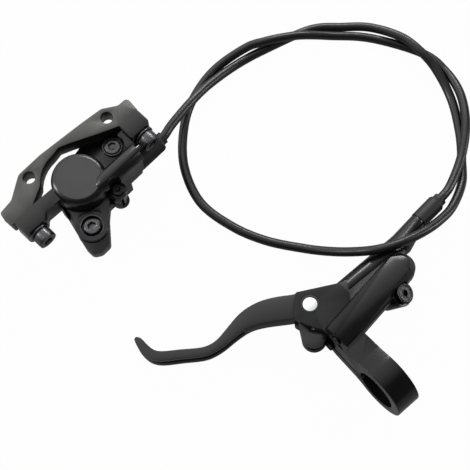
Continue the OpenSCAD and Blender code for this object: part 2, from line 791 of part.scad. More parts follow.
// Sides of the reservoir's section: half width and height over the foot
module reservoir_section(inset) {
    w = reservoir_half - inset;
    top = reservoir_top - inset;
    foot = reservoir_foot + inset;
    polygon([[-w, foot], [w, foot], [w, top - 3.2], [w - 1.4, top - 1], [0.8, top],
        [-w + 1.6, top - 3.6 + 0.25 * inset], [-w, top - 5.6 + 0.5 * inset]]);
}

// Along the reservoir: x from its end face, y across it, z up
module at_reservoir() {
    translate([reservoir_start.x, reservoir_start.y, 0]) rotate([0, 0, reservoir_turn]) children();
}

module reservoir_run(from, to, inset) {
    translate([from, 0, 0]) rotate([90, 0, 90]) linear_extrude(to - from) reservoir_section(inset);
}

module reservoir_shell() {
    at_reservoir() hull() {
        reservoir_run(0, reservoir_len, 0);
        translate([reservoir_len, 0, reservoir_foot])
            cylinder(h = reservoir_top - reservoir_foot - 5, r = reservoir_half, $fn = 32);
        translate([reservoir_len, 0, reservoir_foot])
            cylinder(h = reservoir_top - reservoir_foot - 0.8, r = reservoir_half - 3, $fn = 32);
    }
}

pivot_ear_outline = rounded([
    [-4.2, 62.8, 1.5], [-13.6, 53.2, 2], [-11.6, 46.6, 4], [-6.8, 38.4, 2], [12, 38.4, 0], [16, 44, 0],
    [20, 50.4, 0], [16.5, 51.4, 4], [2.8, 58.8, 10]
]);

module bleed_axis() {
    translate(bleed_at) rotate([0, 0, bleed_turn]) rotate([0, bleed_lean, 0]) children();
}

// Web under the reservoir that joins the cylinder, the clamp neck and the reservoir
web_outline = rounded([
    [8, 26, 3], [26, 28.5, 20], [44, 30, 6], [50, 38, 6], [56, 43.5, 4], [58, 50, 0], [20, 50.8, 6],
    [mouth, 51.6, 1], [mouth, 38.5, 1], [8, 36, 1]
]);

web_top_outline = rounded([
    [8, 26, 3], [26, 28.5, 20], [44, 30, 6], [50, 38, 4], [53.4, 41.4, 1], [53.4, 44.6, 1.2], [24, 45.4, 6],
    [12, 45.4, 2], [8, 36, 1]
]);

module barrel() {
    bar_x(mouth, barrel_end, barrel_r, barrel_mid);
    hull() {
        bar_x(barrel_end - 2, barrel_end, barrel_r - 0.02, barrel_mid);
        translate([outlet_at.x, outlet_at.y, 0]) rotate([0, 0, outlet_turn]) bar_x(-2, -1, outlet_r);
    }
    translate([outlet_at.x, outlet_at.y, 0]) rotate([0, 0, outlet_turn]) bar_x(-4, 0, outlet_r - 0.1);
}

module clamp_body() {
    bar_x(-clamp_w / 2, clamp_w / 2, clamp_r);
    neck = rounded([[4, slit_top, 0], [30, slit_top, 2], [30.4, blade_half + 0.4, 0],
        [34, reservoir_foot + 0.4, 0], [34, 12, 0], [22, 11.6, 6], [13, 13.2, 3], [4, 15.9, 0]]);
    tongue = rounded([[6, -15, 0], [13, -12.6, 4], [29, -11.4, 3], [tongue_end, -9.2, 1.5],
        [tongue_end, tongue_top, 1], [6, tongue_top, 0]]);
    for (side = [neck, tongue]) {
        translate([-clamp_w / 2, 0, 0]) rotate([90, 0, 90]) linear_extrude(clamp_w) polygon(side);
    }
}

module master_cylinder_body() {
    color([0.11, 0.11, 0.11]) in_lever() difference() {
        union() {
            clamp_body();
            reservoir_shell();
            plate(-6.6, 4.8, web_outline);
            plate(4.6, 8.2, web_top_outline);
            barrel();
            plate(ear_in, ear_out, pivot_ear_outline);
            plate(ear_in, ear_out, [[-6.4, 33], [9, 33], [9, 41], [-7.4, 41]]);
            plate(-ear_out, -ear_in, pivot_ear_outline);
            bleed_axis() bar_z(-12, 0, bleed_boss_r);
        }
        bar_x(-clamp_w, clamp_w, bar_r);
        translate([-clamp_w, 0, tongue_top]) cube([2 * clamp_w, tongue_end + 2, slit_w]);
        bar_z(-20, tongue_top + 0.1, clamp_bolt_r + 0.1, [0, clamp_bolt_out]);
        bar_z(-20, -8.4, clamp_bolt_r + 2, [0, clamp_bolt_out]);
        bar_z(slit_top - 0.1, 7, clamp_bolt_r + fit, [0, clamp_bolt_out]);
        bar_z(-ear_out - 1, ear_out + 1, pivot_r + fit, pivot_at);
        bar_z(ear_out - 0.9, ear_out + 1, pivot_r + 1, pivot_at);
        bar_x(mouth - 1, bore_front, master_r, master_out);
        bar_x(clip_at - 0.1, clip_at + clip_t + 0.1, master_r + 0.6, master_out);
        translate([bore_front - 1, master_out, 0]) rotate([0, 0, 18]) bar_x(0, 21, 1);
        translate([outlet_at.x, outlet_at.y, 0]) rotate([0, 0, outlet_turn]) {
            bar_x(-hose_in, 1, hose_r + hose_gap);
            bar_x(-nut_in - olive_h, 1, lever_nut_r + fit);
        }
        at_reservoir() reservoir_run(-4, reservoir_len - 6, reservoir_wall);
        translate([24, 33, reservoir_foot + 3]) rotate([-40, 0, 0]) bar_y(0, 14, 0.6);
        bleed_axis() bar_z(-9, 1, bleed_r + fit);
        bleed_axis() bar_z(-14, 1, 1);
        bleed_axis() bar_z(0, 12, bleed_head_r + gap);
    }
}

module reservoir_cap() {
    color([0.14, 0.14, 0.14]) in_lever() at_reservoir() difference() {
        reservoir_run(0, cap_t, reservoir_wall + 0.1);
        bar_x(-1, cap_t + 1, 1.5 + fit, 0, 9.8);
    }
}

module reservoir_cap_screw() {
    color([0.3, 0.3, 0.3]) in_lever() at_reservoir() translate([0, 0, 9.8]) rotate([0, -90, 0])
        socket_bolt(1.5, cap_t, 2.6, 1.2, 1.5);
}

module reservoir_bladder() {
    color([0.1, 0.1, 0.1]) in_lever() at_reservoir()
        reservoir_run(cap_t + 0.1, reservoir_len - 14, reservoir_wall + 0.8);
}

module bleed_screw() {
    color([0.25, 0.25, 0.25]) in_lever() bleed_axis() difference() {
        union() {
            bar_z(-7, 0.3, bleed_r);
            bar_z(0.3, 2.6, bleed_head_r);
            bar_z(0, 0.3, bleed_r + 0.2);
        }
        hex_socket(2.6, 2.2, 3);
    }
}

module bleed_screw_o_ring() {
    color([0.08, 0.08, 0.08]) in_lever() bleed_axis() ring_z(0.02, 0.28, bleed_r + 0.3, bleed_head_r - 0.1);
}

module clamp_bolt() {
    color([0.2, 0.2, 0.2]) in_lever() translate([0, clamp_bolt_out, -8.4]) rotate([180, 0, 0])
        socket_bolt(clamp_bolt_r, 14, clamp_bolt_r + 1.7, 3.6, 4);
}

// Middle line of the blade from the pivot to the tip, with the blade's width at each point
blade_line = [
    [-2, 55.5, 12.4], [-8.6, 58.6, 12.8], [-14.8, 62.7, 12.8], [-21.5, 66.6, 12], [-28.2, 69.1, 10.2],
    [-34, 69.9, 8.4], [-41, 69.6, 6.4], [-48.6, 69, 4.9], [-54, 69.5, 4.5], [-59.6, 71.6, 4.6],
    [-68, 77.6, 4.8], [-76.4, 83.6, 5], [-79.6, 88, 5], [-80.4, 93.4, 4.7], [-80.2, 97.6, 3.8],
    [-80.6, 100, 1.6]
];

// Strip along the blade between two shares of its width, from the middle line
function strip(line, low, high) =
    let (n = len(line) - 1)
    concat([for (i = [0:n]) flank(line, i, low)], [for (i = [n:-1:0]) flank(line, i, high)]);

function flank(p, i, share) =
    let (a = p[max(i - 1, 0)], b = p[min(i + 1, len(p) - 1)], t = unit([b.x - a.x, b.y - a.y]))
    [p[i].x, p[i].y] + share * p[i][2] * [-t.y, t.x];

module lever_blade() {
    line = smooth(blade_line, 3);
    span = [for (i = [16:40]) line[i]];
    color([0.1, 0.1, 0.1]) in_lever() difference() {
        union() {
            plate(-blade_half, blade_half, strip(line, 0.5, -0.5));
            translate([0, 0, -blade_half]) linear_extrude(blade_t) hull() {
                translate(pivot_at) circle(r = hub_r, $fn = 48);
                translate(lobe_at) circle(r = lobe_r, $fn = 48);
            }
        }
        plate(-blade_half + 2.2, blade_half - 2.2, strip(span, 0.7, 0.5 - channel_deep / 9.3));
        bar_z(-blade_half - 1, blade_half + 1, bush_r + fit, pivot_at);
        bar_z(-blade_half - 1, blade_half + 1, arm_pin_r + fit, arm_at);
        plate(-arm_slot / 2, arm_slot / 2, [[-19, 32], [8, 32], [8, 46.8], [-7, 47.6], [-19, 48.5]]);
    }
}

module pivot_pin() {
    color([0.85, 0.86, 0.87]) in_lever() bar_z(-ear_out + 0.2, ear_out - 0.15, pivot_r, pivot_at);
}

module pivot_bushes() {
    bush_len = blade_half - 0.4;
    color([0.8, 0.6, 0.3]) in_lever() for (s = [0, 1]) mirror([0, 0, s])
        ring_z(0.4, 0.4 + bush_len, pivot_r + fit, bush_r, pivot_at);
}

module pushrod() {
    color([0.6, 0.6, 0.6]) in_lever() translate([each arm_at, 0]) rotate([0, 0, rod_turn]) difference() {
        union() {
            bar_z(-arm_slot / 2 + 0.25, arm_slot / 2 - 0.25, 3);
            bar_x(2, rod_len - 1, rod_r);
            translate([rod_len, 0, 0]) sphere(r = ball_r, $fn = fine);
        }
        bar_z(-4, 4, arm_pin_r + fit);
    }
}

module pushrod_pin() {
    color([0.7, 0.7, 0.7]) in_lever() bar_z(-blade_half + 0.2, blade_half - 0.2, arm_pin_r, arm_at);
}

module master_piston() {
    seat = ball_at.x + ball_r + 0.1;
    color([0.8, 0.8, 0.8]) in_lever() translate([0, master_out, 0]) difference() {
        bar_x(piston_back, piston_front, master_r - fit);
        bar_x(piston_back - 1, seat, ball_r + 0.9);
        for (x = [piston_front - 4, piston_back + 2]) difference() {
            bar_x(x, x + 2.4, master_r + 1);
            bar_x(x - 1, x + 4, master_r - 1.4);
        }
    }
}

module piston_seal(x) {
    in_lever() translate([0, master_out, 0]) difference() {
        bar_x(x + 0.1, x + 2.3, master_r - 0.03);
        bar_x(x - 1, x + 4, master_r - 1.35);
    }
}

module primary_seal() {
    color([0.1, 0.1, 0.1]) piston_seal(piston_front - 4);
}

module secondary_seal() {
    color([0.1, 0.1, 0.1]) piston_seal(piston_back + 2);
}

module return_spring() {
    r = master_r - 1.1 - spring_wire / 2;
    from = piston_front + gap + spring_wire / 2;
    to = bore_front - gap - spring_wire / 2;
    steps = 10 * spring_turns;
    coil = [for (i = [0:steps]) let (t = 36 * i) [from + (to - from) * i / steps, r * cos(t), r * sin(t)]];
    color([0.7, 0.7, 0.7]) in_lever() translate([0, master_out, 0])
        sweep(coil, spring_wire / 2, 8, [1, 0, 0]);
}

module retaining_ring() {
    color([0.6, 0.6, 0.6]) in_lever() translate([0, master_out, 0]) difference() {
        bar_x(clip_at, clip_at + clip_t, master_r + 0.5);
        bar_x(clip_at - 1, clip_at + clip_t + 1, rod_r + 1.7);
        translate([clip_at - 1, 0, -1.5]) cube([clip_t + 2, 9, 3]);
    }
}

// Soft cap over the mouth of the bore, folded down to the pushrod
module dust_boot() {
    color([0.09, 0.09, 0.09]) in_lever() translate([0, master_out, 0]) rotate([0, 90, 0])
        translate([0, 0, mouth - 4.6]) rotate_extrude($fn = fine) polygon([
            [rod_r + 1.1, 0], [3.6, 0], [4, 1.2], [3.6, 2], [4.5, 3], [4.1, 3.8], [master_r - fit, 4.4],
            [master_r - fit, 5.4], [4.4, 5.4], [4.4, 4.7], [3.6, 4], [3.9, 3.1], [3.1, 2.1], [3.4, 1.2]
        ]);
}

caliper_outer_half();
caliper_inner_half();
upper_body_bolt();
lower_body_bolt();
outer_piston();
inner_piston();
outer_piston_seal();
inner_piston_seal();
outer_pad_backing();
inner_pad_backing();
outer_pad_friction();
inner_pad_friction();
pad_spring();
pad_pin();
pad_pin_clip();
crossover_o_ring();
caliper_bleed_screw();
adapter_bracket();
caliper_mount_bolts();
caliper_mount_washers();
caliper_hose_nut();
caliper_hose_olive();
caliper_hose_barb();
caliper_hose_boot();
hose();
lever_hose_boot();
lever_hose_nut();
lever_hose_olive();
lever_hose_barb();
master_cylinder_body();
reservoir_cap();
reservoir_cap_screw();
reservoir_bladder();
bleed_screw();
bleed_screw_o_ring();
clamp_bolt();
lever_blade();
pivot_pin();
pivot_bushes();
pushrod();
pushrod_pin();
master_piston();
primary_seal();
secondary_seal();
return_spring();
retaining_ring();
dust_boot();
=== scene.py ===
# %% [markdown]
# # A bicycle's hydraulic disc brake
# The brake is one sealed set: a lever with its master cylinder, a hose, and a caliper that squeezes a
# steel rotor. Here it lies on a white table, the way a shop shows it before it is fitted.
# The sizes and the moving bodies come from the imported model, and this script dresses them.

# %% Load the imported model
import json
import math

import bmesh
import bpy
from mathutils import Matrix, Vector


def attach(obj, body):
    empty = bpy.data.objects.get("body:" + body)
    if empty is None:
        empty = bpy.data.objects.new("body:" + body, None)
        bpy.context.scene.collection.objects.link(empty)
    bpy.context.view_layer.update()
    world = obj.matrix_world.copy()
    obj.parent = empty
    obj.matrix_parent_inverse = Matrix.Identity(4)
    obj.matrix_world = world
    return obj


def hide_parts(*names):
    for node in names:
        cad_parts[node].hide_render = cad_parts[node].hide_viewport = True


MM = 0.001
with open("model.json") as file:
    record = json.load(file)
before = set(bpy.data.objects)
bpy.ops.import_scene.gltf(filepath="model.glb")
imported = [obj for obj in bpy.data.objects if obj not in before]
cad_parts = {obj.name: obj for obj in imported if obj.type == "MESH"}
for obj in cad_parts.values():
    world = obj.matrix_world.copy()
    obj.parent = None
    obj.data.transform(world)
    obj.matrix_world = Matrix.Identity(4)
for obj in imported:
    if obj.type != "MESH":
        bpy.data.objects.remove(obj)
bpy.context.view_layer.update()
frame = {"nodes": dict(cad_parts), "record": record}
nodes = frame["nodes"]

# %% [markdown]
# ## Camera
# The photograph looks almost straight down, from a bit over half a metre. A camera could be moved about
# by hand until it fits. Here it is worked out from the point it looks at, its height in degrees and its
# distance, so it stays right when one of them changes.

# %% Camera
AIM = Vector((3.5, 17.5, 0)) * MM
ELEVATION = math.radians(72)
DISTANCE = 560 * MM
HALF_FIELD = 126.2 * MM
toward_camera = Vector((0, -math.cos(ELEVATION), math.sin(ELEVATION)))
camera = bpy.data.objects.new("camera", bpy.data.cameras.new("camera"))
camera.location = AIM + toward_camera * DISTANCE
camera.rotation_euler = toward_camera.to_track_quat("Z", "Y").to_euler()
camera.data.lens_unit = "FOV"
camera.data.angle = 2 * math.atan(HALF_FIELD / DISTANCE)
camera.data.clip_start = 0.01
bpy.context.scene.collection.objects.link(camera)
bpy.context.scene.camera = camera
bpy.context.scene.view_settings.view_transform = "Standard"
print("camera", [round(v, 3) for v in camera.location])

# %% [markdown]
# ## Where the two ends lie
# The caliper and the lever are easiest to draw straight, each about its own middle. Two matrices then
# lay them on the table, turned as in the photograph. All the places below are written in millimetres of
# one of these two, and multiplied by its matrix.

# %% Places of the caliper and the lever
def shift(x, y, z=0):
    """A move by so many millimetres."""
    return Matrix.Translation(Vector((x, y, z)) * MM)


def turn(degrees, axis):
    """A turn about one axis."""
    return Matrix.Rotation(math.radians(degrees), 4, axis)


CALIPER = shift(-76.2, 35.8, 19) @ turn(46, "Z")
LEVER = shift(78.5, -64.5, 16.5) @ turn(40.5, "Z") @ turn(-6.7, "X")
HOSE_INLET = CALIPER @ shift(32, -6.5, -5.9) @ turn(90, "Y")
HOSE_OUTLET = LEVER @ shift(73, 51.8, 0) @ turn(5, "Z") @ turn(90, "Y")
for end, place in (("caliper", CALIPER), ("lever", LEVER)):
    print(end, "at", [round(v, 3) for v in place.translation])

# %% [markdown]
# ## Colours and nodes
# Colours are written as the screen shows them and turned to linear light by one function. One other
# function adds a shader node with its settings and its links, so every finish reads the same way.

# %% Colour and node helpers
def tint(code):
    """Screen colour such as #202020 as linear light."""
    parts = [int(code[k : k + 2], 16) / 255 for k in (1, 3, 5)]
    return [v / 12.92 if v <= 0.04045 else ((v + 0.055) / 1.055) ** 2.4 for v in parts] + [1.0]


def add_node(tree, kind, settings=None, **wires):
    """Add a node, set its fields, and give each input a value or a link.

    An input goes by its name, with _ for a space, or by its number as i0, i1 and so on.
    """
    node = tree.nodes.new(kind)
    for field, value in (settings or {}).items():
        setattr(node, field, value)
    for key, value in wires.items():
        by_number = key[0] == "i" and key[1:].isdigit()
        socket = node.inputs[int(key[1:])] if by_number else node.inputs[key.replace("_", " ")]
        if isinstance(value, bpy.types.NodeSocket):
            tree.links.new(value, socket)
        else:
            socket.default_value = value
    return node


print("#808080 in linear light:", round(tint("#808080")[0], 3))

# %% [markdown]
# ## How a finish is built
# No real surface is one flat colour. Paint clouds a little, steel is streaked, rubber is speckled, and
# the same marks change how sharply it reflects. So each finish is a noise with a real size in
# millimetres, on the object's own coordinates, that blends two near colours and moves the roughness.
# An image could do that too, but it would need a flat map of every piece. A fine relief tops it, less
# than a tenth of a millimetre deep, and every shape that can be seen stays in the meshes.

# %% Build a finish
def grain(tree, size_mm, detail=2.0, stretch=(1, 1, 1)):
    """Noise on the object's own coordinates, its lumps about size_mm across."""
    where = add_node(tree, "ShaderNodeTexCoord")
    scaled = add_node(tree, "ShaderNodeMapping", Vector=where.outputs["Object"], Scale=stretch)
    noise = add_node(
        tree,
        "ShaderNodeTexNoise",
        Vector=scaled.outputs["Vector"],
        Scale=1000 / size_mm,
        Detail=detail,
        Roughness=0.55,
    )
    return noise.outputs["Fac"]


def finish(
    name, colours, rough, spread, cloud, relief, fine=None, rough_by_fine=False, blend=(0.35, 0.65), **fixed
):
    """A material from two colours, a roughness with its spread, and one or two grains.

    cloud and fine are settings of grain(). The cloud mixes the colours, and the fine one, if there is any,
    makes the relief, which is given as its depth in millimetres and its strength. fixed holds what is the
    same all over, by the shader's own input names.
    """
    material = bpy.data.materials.new(name)
    material.use_nodes = True
    tree = material.node_tree
    shader = tree.nodes["Principled BSDF"]
    broad = grain(tree, **cloud)
    close = grain(tree, **fine) if fine else broad
    tones = add_node(tree, "ShaderNodeValToRGB", Fac=broad)
    for stop, place, code in zip(tones.color_ramp.elements, blend, colours):
        stop.position = place
        stop.color = tint(code)
    tree.links.new(tones.outputs["Color"], shader.inputs["Base Color"])
    marks = close if rough_by_fine else broad
    low, high = rough + spread[0], rough + spread[1]
    uneven = add_node(tree, "ShaderNodeMapRange", Value=marks, To_Min=low, To_Max=high)
    tree.links.new(uneven.outputs["Result"], shader.inputs["Roughness"])
    bump = add_node(tree, "ShaderNodeBump", Height=close, Distance=relief[0] * MM, Strength=relief[1])
    tree.links.new(bump.outputs["Normal"], shader.inputs["Normal"])
    for key, value in fixed.items():
        shader.inputs[key].default_value = value
    return material


# %% [markdown]
# ## Black painted alloy
# The caliper, the lever's body and its blade are cast or forged aluminium under a black satin coat. The
# coat is a dielectric, so the part is dark where nothing bright is mirrored and pale along its rounded
# edges. A clear coat over black would do too, but one layer gives the same sheen with less. A fine
# orange-peel relief of about half a millimetre breaks up the reflections. The flat disc over the piston
# is duller, and its paler grey is a painted sheen. The clamp and the ears are smoother, and their darker
# colour and weaker mirroring are painted shade.

# %% Black painted alloy
def coated_alloy(name, dark, light, rough, ior=1.5):
    return finish(
        name,
        (dark, light),
        rough,
        spread=(-0.05, 0.07),
        cloud={"size_mm": 9, "detail": 3},
        fine={"size_mm": 0.5},
        relief=(0.012, 0.6),
        blend=(0.3, 0.7),
        IOR=ior,
    )


black_coat = coated_alloy("black satin coat on cast alloy", "#0c0c0d", "#121213", 0.24)
# Paler grey on the faced disc: a painted sheen on the flat face that looks up.
painted_sheen_disc_coat = coated_alloy("faced disc coat with painted sheen", "#3a3a3b", "#3f3f40", 0.42)
# Darker and less mirroring than black_coat on the clamp and ears: painted shade. Its lower roughness is the
# real smoother gloss.
painted_shade_clamp_coat = coated_alloy("clamp and ears gloss coat with painted shade", "#080809", "#0d0d0e", 0.19, ior=1.38)
blade_coat = coated_alloy("black satin coat on the forged blade", "#0e0e0f", "#141415", 0.22)
print("painted finishes: 4")

# %% [markdown]
# ## Anodised alloy
# The adapter is sawn from plate and anodised dark grey, and the pistons are hard anodised. Anodising
# leaves bare metal's reflections under a tinted skin, so it is a metal here, where a dark paint would
# look flat. The grain of a third of a millimetre is what bead blasting leaves, a little coarser than
# real so that it shows.

# %% Anodised alloy
def anodised(name, dark, light, rough):
    return finish(
        name,
        (dark, light),
        rough,
        spread=(-0.05, 0.05),
        cloud={"size_mm": 14, "detail": 3},
        fine={"size_mm": 0.35},
        rough_by_fine=True,
        relief=(0.01, 0.7),
        blend=(0.3, 0.7),
        Metallic=1.0,
    )


grey_anodise = anodised("dark grey anodised plate", "#525250", "#5b5b59", 0.4)
piston_anodise = anodised("hard anodised piston", "#707274", "#7c7e80", 0.3)
print("anodised finishes: 2")

# %% [markdown]
# ## Steel, brass and bronze
# The bolts are blackened steel: oxide over a turned and rolled surface, a little streaky. The caliper's
# bolts, washers and bolt ribs, and the lips round two bolts, are a lighter grey, partly wear and partly a
# painted highlight. Springs and barbs are bare ground steel, the pads' plates are zinc-plated, and the
# pivot pin's end is polished enough to mirror the white room. They differ only in colour and polish, so
# one recipe with other numbers makes them all.

# %% Steel, brass and bronze
def turned_metal(name, dark, light, rough):
    """Metal with streaks about 0.6 mm wide. Squeezing the noise along Z draws them out sideways."""
    return finish(
        name,
        (dark, light),
        rough,
        spread=(-0.06, 0.08),
        cloud={"size_mm": 0.6, "detail": 4, "stretch": (1, 1, 6)},
        relief=(0.004, 0.5),
        Metallic=1.0,
    )


black_steel = turned_metal("blackened bolt steel", "#262627", "#363637", 0.3)
# Lighter grey: partly wear, partly a painted highlight on the caliper's bolts and lips.
worn_and_highlight_steel = turned_metal("blackened steel worn grey with painted highlight", "#48484a", "#6a6a6c", 0.26)
bare_steel = turned_metal("ground stainless steel", "#b9bcbe", "#cfd2d4", 0.22)
pin_steel = turned_metal("polished pivot pin steel", "#eef1f2", "#f7f9fa", 0.12)
plated_steel = turned_metal("zinc-plated pad plate", "#4b4c4d", "#5a5b5c", 0.4)
brass = turned_metal("turned brass", "#b08a4a", "#c29a58", 0.28)
bronze = turned_metal("sintered bronze bush", "#8d6a44", "#a07c52", 0.45)
print("metal finishes: 7")

# %% [markdown]
# ## Rubber, nylon and friction block
# The boots and seals are moulded rubber, matt and slightly uneven. The hose has an extruded nylon skin,
# smooth and shinier. The friction block is powder pressed hard on its plate, rough to the touch. None
# of them is a metal, so one recipe does for all three, and the size and depth of the speckle differ.

# %% Rubber, nylon and friction block
def moulded(name, dark, light, rough, grain_mm, depth_mm):
    return finish(
        name,
        (dark, light),
        rough,
        spread=(-0.06, 0.06),
        cloud={"size_mm": grain_mm, "detail": 3},
        relief=(depth_mm, 0.6),
        IOR=1.5,
    )


rubber = moulded("moulded black rubber", "#121213", "#181819", 0.5, 0.4, 0.015)
nylon = moulded("extruded nylon hose skin", "#0e0e0f", "#131314", 0.34, 2.0, 0.002)
pressed_block = moulded("pressed friction block", "#2a2623", "#4a443d", 0.85, 0.5, 0.08)
print("soft and rough finishes: 3")

# %% [markdown]
# ## Rounded edges on the model's own solids
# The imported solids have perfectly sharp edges. Real castings and machined parts never do, and a black
# part is read almost only by the light along its edges. So a copy of each solid is merged, its flat
# faces are joined, and every sharp edge gets a small bevel. The copy then stands for the plain solid.
# Bevelling in bmesh, and not with a modifier, lets single edges be picked by where they are.

# %% Small helpers for pieces
def as_object(name, mesh, material, body):
    """A mesh in the model's frame as an object that rides on a body."""
    piece = bpy.data.objects.new(name, mesh)
    bpy.context.scene.collection.objects.link(piece)
    mesh.materials.clear()
    mesh.materials.append(material)
    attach(piece, body)
    return piece


def bevel(work, edges, width_mm, segments):
    """Bevel edges to a round of so many segments."""
    bmesh.ops.bevel(
        work,
        geom=edges,
        offset=width_mm * MM,
        offset_type="OFFSET",
        segments=segments,
        profile=0.5,
        affect="EDGES",
        clamp_overlap=True,
        material=-1,
    )


def soften(mesh, sharp_above):
    """Smooth shading, broken where two faces meet at more than this angle in degrees."""
    mesh.shade_smooth()
    mesh.set_sharp_from_angle(angle=math.radians(sharp_above))


print("helpers: as_object, bevel, soften")

# %% Round the edges of a mesh
MERGE = 0.002 * MM
SPECK = 0.01 * MM
FLAT_WITHIN = math.radians(1.5)
SHARP_FROM = math.radians(32)
MANY_SEGMENTS_FROM_MM = 1.0


def round_edges(mesh, edge_mm, wide=None, wide_mm=0.7):
    """Bevel every sharp edge, and more broadly those whose middle passes the test wide."""
    work = bmesh.new()
    work.from_mesh(mesh)
    bmesh.ops.remove_doubles(work, verts=work.verts, dist=MERGE)
    bmesh.ops.dissolve_limit(work, angle_limit=FLAT_WITHIN, verts=work.verts, edges=work.edges)
    bmesh.ops.dissolve_degenerate(work, edges=work.edges, dist=SPECK)
    sharp = [e for e in work.edges if len(e.link_faces) == 2 and e.calc_face_angle(0) > SHARP_FROM]
    broad = [e for e in sharp if wide and wide((e.verts[0].co + e.verts[1].co) / 2)]
    fine = [e for e in sharp if e not in set(broad)]
    for edges, width_mm in ((broad, wide_mm), (fine, edge_mm)):
        edges = [e for e in edges if e.is_valid]
        if edges:
            bevel(work, edges, width_mm, segments=2 if width_mm < MANY_SEGMENTS_FROM_MM else 5)
    bmesh.ops.triangulate(work, faces=work.faces)
    work.to_mesh(mesh)
    work.free()
    return len(fine), len(broad)


print("edges sharper than", round(math.degrees(SHARP_FROM)), "degrees are rounded")

# %% Dress a solid
def dress(node, material, edge_mm=0.3, smooth=40, crisp=None, patch=None, **rims):
    """A copy of a model's solid with its edges rounded, riding where the solid rides.

    crisp keeps a soft edge sharp by its two ends, and patch is a second finish with the test of the faces
    that take it. rims goes to round_edges().
    """
    mesh = nodes[node].data.copy()
    fine, broad = round_edges(mesh, edge_mm, **rims)
    soften(mesh, smooth)
    if crisp:
        marks = mesh.attributes["sharp_edge"]
        for edge in mesh.edges:
            if crisp(*(mesh.vertices[k].co for k in edge.vertices)):
                marks.data[edge.index].value = True
    record = frame["record"]
    body = next(name for name, members in record["behaviour"]["bodies"].items() if node in members)
    piece = as_object(node + "_dressed", mesh, material, body)
    if patch:
        mesh.materials.append(patch[0])
        for face in mesh.polygons:
            face.material_index = int(patch[1](face.center, face.normal))
    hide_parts(node)
    print(node, "edges rounded:", fine, "and wide:", broad, "faces:", len(mesh.polygons))


# %% [markdown]
# ## Which edges and faces differ
# A few edges are rounder or crisper than the rest, and two pieces carry two finishes: a painted sheen on
# the caliper's disc and a painted shade on the lever's clamp and ear. Each is picked by a small test on
# its place, in millimetres of the caliper or the lever, so it still finds its edges when the mesh is built
# anew with other numbering.

# %% Tests on the caliper
DISC_RADIUS = 11.5
DISC_FROM = 18.9
ADAPTER_TOP = 15
LUG_TOP = -4
LUG_LEVELS = (7, 9)


def local(place, point):
    """A point of the model in one end's own millimetres."""
    return (place.inverted() @ point) / MM


def disc_rim(*ends):
    """The crease round the flat face over the piston."""
    ends = [local(CALIPER, end) for end in ends]
    return all(abs(math.hypot(p.x, p.y) - DISC_RADIUS) < 0.12 and p.z > DISC_FROM for p in ends)


# The faces that take the painted sheen.
def painted_sheen_disc_face(middle, normal):
    """The flat face itself."""
    p = local(CALIPER, middle)
    return p.z > DISC_FROM and math.hypot(p.x, p.y) < DISC_RADIUS and normal.z > 0.9


def lug_rim(middle):
    """Edges with a broad pale rim: the lug, its ring and the lower bolt's counterbore."""
    p = local(CALIPER, middle)
    return p.y < LUG_TOP and any(abs(p.z - level) < 0.2 for level in LUG_LEVELS)


def adapter_rim(middle):
    """The upper edges of the adapter's plate and of its holes."""
    return abs(local(CALIPER, middle).z - ADAPTER_TOP) < 0.1


print("disc radius", DISC_RADIUS, "mm, adapter's top at", ADAPTER_TOP, "mm")


# %% Tests on the lever
CLAMP_HALF_WIDTH = 6.7
OUTSIDE_OF_RING = 15.5
NECK_FROM = 13.6
CREASES = ((6.4, 6.9), (12.5, 13.5), (21.1, 21.6))


def clamp_rim(middle):
    """The two rims of the handlebar clamp, up to where its neck runs straight."""
    p = local(LEVER, middle)
    on_side = abs(abs(p.x) - CLAMP_HALF_WIDTH) < 0.1
    return on_side and math.hypot(p.y, p.z) > OUTSIDE_OF_RING and p.y < NECK_FROM


def neck_crease(*ends):
    """The shallow creases across the top of the clamp's neck."""
    ends = [local(LEVER, end) for end in ends]
    return all(p.z > 11 for p in ends) and any(all(low < p.y < high for p in ends) for low, high in CREASES)


# The faces that take the painted shade: the clamp with its neck and the pivot ear's face.
def gloss_and_painted_shade_face(middle, normal):
    """The clamp's ring with its neck, and the face of the pivot ear."""
    p = local(LEVER, middle)
    clamp = p.y < 24 and abs(p.x) < 7
    ear = p.y > 36 and p.x < 14 and p.z > 8.3
    return clamp or ear


def blade_rim(middle):
    """The edges round the blade's upper face."""
    return local(LEVER, middle).z > 3


print("clamp's half width", CLAMP_HALF_WIDTH, "mm, creases across its neck:", len(CREASES))


# %% Dress the hard pieces
# The disc's face takes a paler coat, a painted sheen, and the clamp and ear take a darker one, a painted
# shade.
dress("caliper_outer_half", black_coat, 0.35, wide=lug_rim, crisp=disc_rim, patch=(painted_sheen_disc_coat, painted_sheen_disc_face))
dress(
    "master_cylinder_body",
    black_coat,
    0.35,
    smooth=17,
    wide=clamp_rim,
    wide_mm=1.4,
    crisp=neck_crease,
    patch=(painted_shade_clamp_coat, gloss_and_painted_shade_face),
)
dress("adapter_bracket", grey_anodise, 0.3, wide=adapter_rim)
dress("lever_blade", blade_coat, 0.5, smooth=28, wide=blade_rim)
PLAIN_PIECES = [
    ("caliper_inner_half", black_coat, 0.35),
    # The caliper's bolts and washers take the lighter steel, partly wear and partly painted highlight.
    ("upper_body_bolt", worn_and_highlight_steel, 0.4),
    ("lower_body_bolt", worn_and_highlight_steel, 0.4),
    ("caliper_mount_bolts", worn_and_highlight_steel, 0.4),
    ("caliper_mount_washers", worn_and_highlight_steel, 0.2),
    ("bleed_screw", black_steel, 0.35),
    ("clamp_bolt", black_steel, 0.25),
    ("pad_pin", black_steel, 0.2),
    ("pivot_pin", pin_steel, 0.25),
    ("reservoir_cap", black_coat, 0.2),
    ("reservoir_cap_screw", black_steel, 0.15),
]
for node, material, edge_mm in PLAIN_PIECES:
    dress(node, material, edge_mm)

